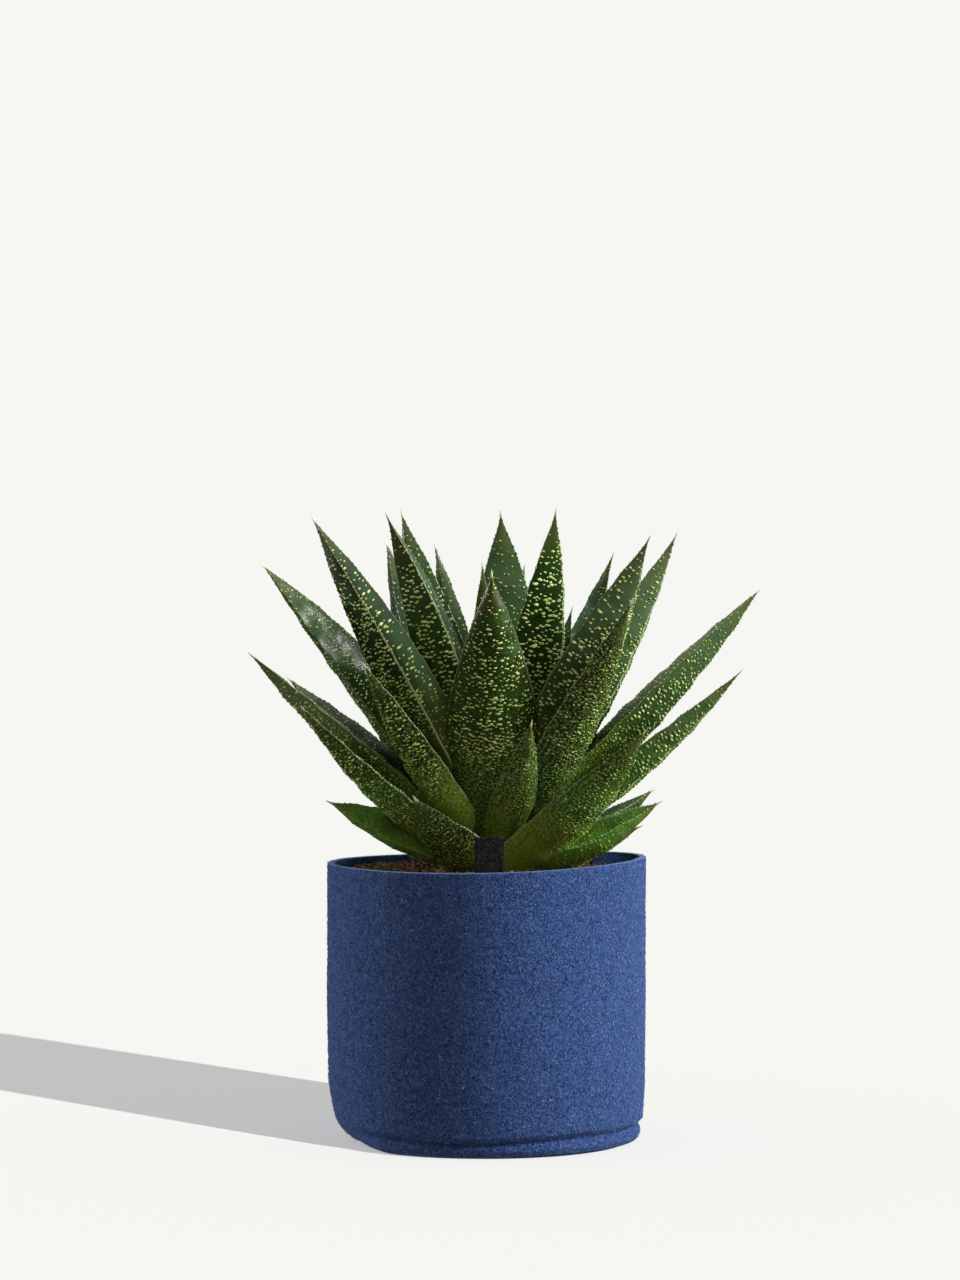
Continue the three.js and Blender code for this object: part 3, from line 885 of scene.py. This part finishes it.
def wall_section(angle):
    """The wall's section at an angle: out along the foot, up the outside, over the rim, down the inside."""
    share = float(crease_share(angle))
    rim = float(rim_height(angle))
    wave = float(wall_wave(angle))
    rows = wall_rows()
    out_r = outside_radius(angle, rows)
    out_z = rows * (rim - RIM_ROUND) / (POT_HEIGHT - RIM_ROUND)
    under_r = np.linspace(BASE_RADIUS, out_r[0], UNDER_STEPS)[:-1]
    inner_top = POT_RADIUS - FELT + wave
    rim_r = np.linspace(POT_RADIUS + wave - RIM_ROUND, inner_top + RIM_ROUND, RIM_STEPS)
    inside = np.array([
        (inner_top, rim - RIM_ROUND), (inner_top, rim - 12), (61.8, 30), (60.6, 16),
        (56.2 + 2.8 * share, 8 - 1.2 * share), (50 + 6 * share, FELT), (BASE_RADIUS, FELT),
    ])
    steps = np.linspace(0, len(inside) - 1, INSIDE_STEPS)
    in_r = np.interp(steps, np.arange(len(inside)), inside[:, 0])
    in_z = np.interp(steps, np.arange(len(inside)), inside[:, 1])
    radius = np.concatenate([under_r, out_r, rim_r, in_r])
    height = np.concatenate([np.zeros(len(under_r)), out_z, np.full(len(rim_r), rim), in_z])
    return radius, height, len(under_r) + len(out_r)


def felt_grain(points, depth):
    """Small uneven lumps of the felt's surface, pushed in or out along the radius."""
    moved = points.copy()
    for i, (x, y, z) in enumerate(points):
        fine = noise.noise(Vector((x * 0.9, y * 0.9, z * 0.9)))
        coarse = noise.noise(Vector((x * 0.09, y * 0.09, z * 0.07 + 7)))
        push = depth * (0.45 * fine + 0.8 * coarse)
        reach = math.hypot(x, y) or 1.0
        moved[i, 0] += x / reach * push
        moved[i, 1] += y / reach * push
    return moved


def make_wall(look):
    angles = turns(WALL_COLUMNS)
    sections = [wall_section(angle) for angle in angles]
    rings = np.array([np.stack([radius, height], 1) for radius, height, _ in sections])
    outer_rows = sections[0][2]
    rows = rings.shape[1]
    points = around(rings[:, :, 0], angles[:, None], rings[:, :, 1]).reshape(-1, 3)
    grained = felt_grain(points, GRAIN_DEPTH)
    low = points[:, 2] < FLAT_BELOW
    grained[low] = points[low]
    # The rim top rows are marked for a paler colour, partly a painted highlight.
    cut_edge_and_highlight = np.zeros(rows)
    cut_edge_and_highlight[outer_rows:outer_rows + RIM_STEPS] = 1.0
    faces = flipped(grid_faces(WALL_COLUMNS, rows, closed_rows=True))
    made = piece("felt_wall_cloth", grained, faces, [look], attributes={"cut_edge_and_highlight": np.tile(cut_edge_and_highlight, WALL_COLUMNS)})
    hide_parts("felt_wall")
    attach(made, BODY)


def spindle():
    """A closed fibre of unit length along X, thickest in the middle."""
    points = np.array([[-0.5, 0, 0], [0, 1, 0], [0, -0.5, 0.87], [0, -0.5, -0.87], [0.5, 0, 0]])
    return points, [(0, 1, 3), (0, 3, 2), (0, 2, 1), (4, 3, 1), (4, 2, 3), (4, 1, 2)]


def make_wall_fibres(look):
    """Short fibres, each lying nearly flat on the cloth."""
    draw = np.random.default_rng(FELT_SEED)
    angle = draw.uniform(0, 2 * np.pi, WALL_FIBRES)
    height = 1.5 + (rim_height(angle) - 1.5) * draw.uniform(0, 1, WALL_FIBRES)
    outlines = [outside_radius(place, OUTLINE_HEIGHTS) for place in angle]
    radius = np.array([np.interp(z, OUTLINE_HEIGHTS, outline) for z, outline in zip(height, outlines)])
    out = around(1, angle, 0)
    level = np.stack([-np.sin(angle), np.cos(angle), np.zeros(WALL_FIBRES)], 1)
    up = np.array([0, 0, 1.0])
    turn = draw.uniform(0, np.pi, WALL_FIBRES)[:, None]
    tilt = draw.uniform(-0.12, 0.12, WALL_FIBRES)[:, None]
    along = unit(level * np.cos(turn) + up * np.sin(turn) + out * tilt)
    side = unit(np.cross(out, along))
    normal = np.cross(along, side)
    centres = out * (radius + draw.uniform(0.0, 0.22, WALL_FIBRES))[:, None]
    centres[:, 2] = height
    long = draw.uniform(0.8, 2.4, WALL_FIBRES)[:, None]
    thick = draw.uniform(0.06, 0.13, WALL_FIBRES)[:, None]
    shape, shape_faces = spindle()
    points, faces = stamped(shape, shape_faces, centres, along * long, side * thick, normal * thick)
    tones = np.repeat(draw.uniform(0, 1, WALL_FIBRES) ** 1.6, len(shape))
    made = piece("felt_wall_fibres", points, faces, [look], attributes={"tone": tones})
    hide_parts("felt_wall")
    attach(made, BODY)


# Soil

SOIL_COLUMNS = 180
SOIL_RINGS = 56
SOIL_CORE = 0.12
SOIL_SKIRT = 12
CRUMB_HIGH = 1.1
SOIL_CHIPS = 1500
SOIL_FIBRES = 1000
FIBRE_STEPS = 6
FIBRE_RADIUS = 0.11
FIBRE_CORNERS = (0.5, 2.6, 4.7)


def soil_top(x, y):
    middle = np.maximum(0, 1 - np.hypot(x - STEM_X, y) / POT_RADIUS)
    clods = np.sin(0.31 * x + 1.7 * np.sin(0.23 * y)) * np.cos(0.27 * y + 1.3 * np.sin(0.19 * x))
    return SOIL_HEIGHT + SOIL_MOUND * middle + SOIL_CLOD * clods


def soil_surface():
    radius = (POT_RADIUS - FELT - 0.1) * np.linspace(1.0, SOIL_CORE, SOIL_RINGS)
    points = around(radius, turns(SOIL_COLUMNS)[:, None], 0.0).reshape(-1, 3)
    points[:, 2] = soil_top(points[:, 0], points[:, 1])
    for i, (px, py, _) in enumerate(points):
        crumbs = noise.fractal(Vector((px * 0.35, py * 0.35, 3.0)), 0.8, 2.1, 4)
        points[i, 2] += CRUMB_HIGH * crumbs
    return points


def chip_shape():
    corners = np.array([[x, y, z] for x in (-1, 1) for y in (-1, 1) for z in (-1, 1)], float)
    corners[::3] *= 0.6
    corners[1::3] *= 0.85
    faces = [(0, 1, 3, 2), (4, 6, 7, 5), (0, 4, 5, 1), (2, 3, 7, 6), (0, 2, 6, 4), (1, 5, 7, 3)]
    return corners, faces


def soil_chips(draw, count):
    """Chips and clods scattered on the soil, most of them small."""
    radius = (POT_RADIUS - FELT - 2.5) * np.sqrt(draw.uniform(0.04, 1, count))
    centres = around(radius, draw.uniform(0, 2 * np.pi, count), 0.0)
    centres[:, 2] = soil_top(centres[:, 0], centres[:, 1]) + draw.uniform(-0.3, 0.8, count)
    size = 0.28 + 0.75 * draw.uniform(0, 1, count) ** 3
    first = unit(draw.normal(size=(count, 3)))
    second = unit(np.cross(first, draw.normal(size=(count, 3))))
    third = np.cross(first, second)
    shape, faces = chip_shape()
    long = (size * draw.uniform(0.9, 2.2, count))[:, None]
    wide = size[:, None]
    points, faces = stamped(shape, faces, centres, first * long, second * wide, third * 0.6 * wide)
    return points, faces, np.repeat(draw.uniform(0.05, 0.85, count), len(shape))


def soil_fibres(draw, count):
    """Thin curly coir fibres lying on the soil, each a bent three-sided rod."""
    points = []
    faces = []
    tones = []
    sides = len(FIBRE_CORNERS)
    end = sides * (FIBRE_STEPS - 1)
    rod = grid_faces(FIBRE_STEPS, sides) + [(2, 1, 0), (end, end + 1, end + 2)]
    for _ in range(count):
        radius = (POT_RADIUS - FELT - 5) * math.sqrt(draw.uniform(0.05, 1))
        angle = draw.uniform(0, 2 * math.pi)
        heading = draw.uniform(0, 2 * math.pi)
        curl = draw.uniform(-0.55, 0.55)
        step = draw.uniform(0.6, 1.9)
        x, y = radius * math.cos(angle), radius * math.sin(angle)
        lift = draw.uniform(0.5, 1.6)
        start = len(points)
        for i in range(FIBRE_STEPS):
            z = float(soil_top(x, y)) + lift * math.sin(math.pi * i / (FIBRE_STEPS - 1)) + 0.3
            across = np.array([-math.sin(heading), math.cos(heading), 0])
            for turn in FIBRE_CORNERS:
                offset = across * FIBRE_RADIUS * math.cos(turn)
                offset = offset + np.array([0, 0, FIBRE_RADIUS * math.sin(turn)])
                points.append(np.array([x, y, z]) + offset)
            x += step * math.cos(heading)
            y += step * math.sin(heading)
            heading += curl
        faces += [tuple(v + start for v in face) for face in rod]
        tones += [draw.uniform(0.45, 1.0)] * (sides * FIBRE_STEPS)
    points = np.array(points)
    reach = np.hypot(points[:, 0], points[:, 1])
    over = np.maximum(1.0, reach / (POT_RADIUS - FELT - 0.5))
    points[:, 0] /= over
    points[:, 1] /= over
    return points, faces, np.array(tones)


def make_soil(ground_look, chip_look):
    draw = np.random.default_rng(SOIL_SEED)
    top = soil_surface()
    faces = grid_faces(SOIL_COLUMNS, SOIL_RINGS, closed_columns=False, closed_rows=True)
    rings = top.reshape(SOIL_COLUMNS, SOIL_RINGS, 3)
    below = np.vstack([rings[:, 0], rings[:, -1]])
    below[:, 2] = SOIL_HEIGHT - SOIL_SKIRT
    points = np.vstack([top, below])
    first = len(top)
    second = first + SOIL_COLUMNS
    for i in range(SOIL_COLUMNS):
        k = (i + 1) % SOIL_COLUMNS
        faces.append((i * SOIL_RINGS, k * SOIL_RINGS, first + k, first + i))
        inner_i = i * SOIL_RINGS + SOIL_RINGS - 1
        inner_k = k * SOIL_RINGS + SOIL_RINGS - 1
        faces.append((inner_k, inner_i, second + i, second + k))
        faces.append((first + i, first + k, second + k, second + i))
    chips, chip_faces, chip_tones = soil_chips(draw, SOIL_CHIPS)
    fibres, fibre_faces, fibre_tones = soil_fibres(draw, SOIL_FIBRES)
    tones = np.concatenate([np.zeros(len(points)), chip_tones, fibre_tones])
    face_looks = [0] * len(faces) + [1] * (len(chip_faces) + len(fibre_faces))
    points, faces = joined((points, flipped(faces)), (chips, chip_faces), (fibres, fibre_faces))
    made = piece("soil_ground", points, faces, [ground_look, chip_look], face_looks, {"tone": tones})
    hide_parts("soil")
    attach(made, BODY)


# Tab and plain solids

TAB_COLUMNS = 26
TAB_ROWS = 60
TAB_SUNK = 8


def make_tab(look):
    half_w = TAB["width"] / 2
    half_t = TAB["thickness"] / 2
    across = [-half_w + 2 * half_w * i / (TAB_COLUMNS - 1) for i in range(TAB_COLUMNS)]
    outline = [(x, -half_t) for x in across] + [(-x, half_t) for x in across]
    low = SOIL_HEIGHT - TAB_SUNK
    points = []
    for j in range(TAB_ROWS):
        z = low + (TAB["top"] - low) * j / (TAB_ROWS - 1)
        for x, y in outline:
            bow = 0.35 * math.sin(0.16 * (z - low))
            rough = 0.16 * noise.noise(Vector((x * 1.3, y * 1.3 + 9, z * 1.3)))
            edge = 0.94 if abs(abs(x) - half_w) < 0.01 else 1.0
            points.append((TAB["x"] + x + rough, TAB["y"] + y * edge * 0.92 + bow * 0.2 + rough, z))
    count = len(outline)
    faces = grid_faces(TAB_ROWS, count)
    faces.append(tuple(reversed(range(count))))
    faces.append(tuple(range((TAB_ROWS - 1) * count, TAB_ROWS * count)))
    made = piece("felt_tab_cloth", points, faces, [look], attributes={"cut_edge_and_highlight": np.zeros(len(points))})
    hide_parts("felt_tab")
    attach(made, BODY)


def dress(name, look):
    """Gives a solid that keeps its CAD shape its material."""
    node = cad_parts[name]
    node.data.materials.clear()
    node.data.materials.append(look)


# Room, light and camera, in metres

CAMERA_DISTANCE = 1.490
CAMERA_HEIGHT = 0.204
CAMERA_X = -0.0025
FOCAL_PIXELS = 3643.0
PHOTO_HEIGHT = 1280.0
SENSOR = 36.0


def make_camera():
    data = bpy.data.cameras.new("camera")
    data.sensor_fit = "VERTICAL"
    data.sensor_height = SENSOR
    data.lens = FOCAL_PIXELS / PHOTO_HEIGHT * SENSOR
    camera = placed("camera", data)
    camera.location = (CAMERA_X, -CAMERA_DISTANCE, CAMERA_HEIGHT)
    camera.rotation_euler = (math.radians(90), 0, 0)
    bpy.context.scene.camera = camera


PAPER = (0.922, 0.922, 0.888)
PAPER_IN_SHADE = (0.539, 0.539, 0.539)
FLOOR_ALBEDO = 0.3
FILL = 0.33
FILL_TINT = (1.12, 1.0, 0.86)
REAR_SHEEN = (0.22, 0.24, 0.22)
ROOM_RADIUS = 6.0
DOME_ROWS = 16
DOME_COLUMNS = 97
SUN_RISE = math.radians(14)
SUN_TURN = math.radians(130)
SUN_SPREAD = math.radians(0.7)
FLOOR_SIDES = 96
PLANT_MIDDLE = 0.15
# The name, place, size, strength and colour of each soft light
SOFT_LIGHTS = (
    ("key", (1.9, -0.35, 1.0), 0.9, 1.45, (0.97, 1.0, 1.0)),
    ("right_edge", (1.57, 0.89, 1.4), 0.22, 0.08, (1.0, 1.0, 1.0)),
    ("top", (0.1, 0.5, 1.7), 0.9, 0.55, (0.95, 1.0, 1.0)),
    ("left_edge", (-1.5, 0.75, 0.55), 0.6, 0.6, (0.92, 1.0, 1.08)),
)


def glowing(name, values, glow):
    """A material with no gloss that glows by itself."""
    look, _, shader = new_material(name)
    settle(shader, values)
    settle(shader, {"Specular IOR Level": 0.0, "Emission Color": (*glow, 1), "Emission Strength": 1.0})
    return look


def dome_part(name, start, end, radius, colour):
    """A glowing part of a dome, between two turns."""
    look = glowing(f"{name}_paper", {"Base Color": (0, 0, 0, 1)}, colour)
    rises = np.linspace(0, math.pi / 2, DOME_ROWS)
    rise, turn = np.meshgrid(rises, np.linspace(start, end, DOME_COLUMNS), indexing="ij")
    places = around(np.cos(rise), turn, np.sin(rise))
    faces = grid_faces(DOME_ROWS, DOME_COLUMNS, closed_columns=False)
    return piece(name, places.reshape(-1, 3) * radius / MM, faces, [look])


def make_room():
    """A pale floor, a backdrop that lights nothing, and behind it a dimmer one that only gloss shows."""
    glow = [PAPER_IN_SHADE[i] - FLOOR_ALBEDO * FILL * FILL_TINT[i] for i in range(3)]
    albedo = (FLOOR_ALBEDO, FLOOR_ALBEDO, FLOOR_ALBEDO, 1)
    floor_look = glowing("floor_paper", {"Base Color": albedo, "Roughness": 1.0}, glow)
    disc = ring(1.2 * ROOM_RADIUS, 0, FLOOR_SIDES)
    floor = piece("floor", disc / MM, [tuple(range(FLOOR_SIDES))], [floor_look])
    stage = [floor, dome_part("backdrop", 0, 2 * math.pi, ROOM_RADIUS, PAPER)]
    sheen = dome_part("rear_sheen", 0.1 * math.pi, 0.9 * math.pi, 1.1 * ROOM_RADIUS, REAR_SHEEN)
    sheen.visible_camera = False
    stage.append(sheen)
    for paper in stage:
        paper.visible_diffuse = False
        paper.visible_glossy = paper == sheen
        paper.visible_transmission = False
        paper.visible_shadow = False
    return stage


def lights_only(light, stage, kept):
    """Lets a light reach only these objects, or everything but them."""
    group = bpy.data.collections.new(f"{light.name}_reach")
    for thing in stage:
        group.objects.link(thing)
    light.light_linking.receiver_collection = group
    for entry in group.collection_objects:
        entry.light_linking.link_state = "INCLUDE" if kept else "EXCLUDE"


def softbox(name, place, size, strength, colour, stage):
    """A round soft light on the plant; its strength is what it gives a white surface facing it."""
    away = Vector(place) - Vector((0, 0, PLANT_MIDDLE))
    data = bpy.data.lights.new(name, "AREA")
    data.shape = "DISK"
    data.size = size
    data.energy = strength * (math.pi * away.length) ** 2
    data.color = colour
    light = placed(name, data)
    light.location = place
    light.rotation_euler = away.to_track_quat("Z", "Y").to_euler()
    light.visible_camera = False
    lights_only(light, stage, False)


def make_lights(stage):
    world = bpy.data.worlds.new("world")
    world.use_nodes = True
    settle(world.node_tree.nodes["Background"], {"Color": (*FILL_TINT, 1), "Strength": FILL})
    bpy.context.scene.world = world
    world.cycles_visibility.glossy = False
    for row in SOFT_LIGHTS:
        softbox(*row, stage)
    data = bpy.data.lights.new("floor_sun", "SUN")
    lit = [(PAPER[i] - PAPER_IN_SHADE[i]) * math.pi / (FLOOR_ALBEDO * math.sin(SUN_RISE)) for i in range(3)]
    data.energy = lit[0]
    data.color = [part / lit[0] for part in lit]
    data.angle = SUN_SPREAD
    sun = placed("floor_sun", data)
    level = math.cos(SUN_RISE)
    heading = Vector((level * math.cos(SUN_TURN), level * math.sin(SUN_TURN), -math.sin(SUN_RISE)))
    sun.rotation_euler = heading.to_track_quat("-Z", "Y").to_euler()
    lights_only(sun, stage[:1], True)
    bpy.context.scene.view_settings.view_transform = "Standard"


make_camera()
make_lights(make_room())
blue_felt = felt_cloth("blue_felt", BLUE, BLUE_RIM_AND_HIGHLIGHT)
charcoal_felt = felt_cloth("charcoal_felt", CHARCOAL, CHARCOAL_RIM_AND_HIGHLIGHT)
make_wall(blue_felt)
make_wall_fibres(fibre_look("blue_fibre", *BLUE_FIBRES))
dress("felt_base", blue_felt)
make_soil(soil_crumb(), soil_chip())
make_tab(charcoal_felt)
dress("stem", stem_skin())
leaf_looks = [leaf_skin(), wart_skin(), tooth_skin()]
for index, leaf_row in enumerate(LEAVES):
    make_leaf(index + 1, leaf_row, leaf_looks)
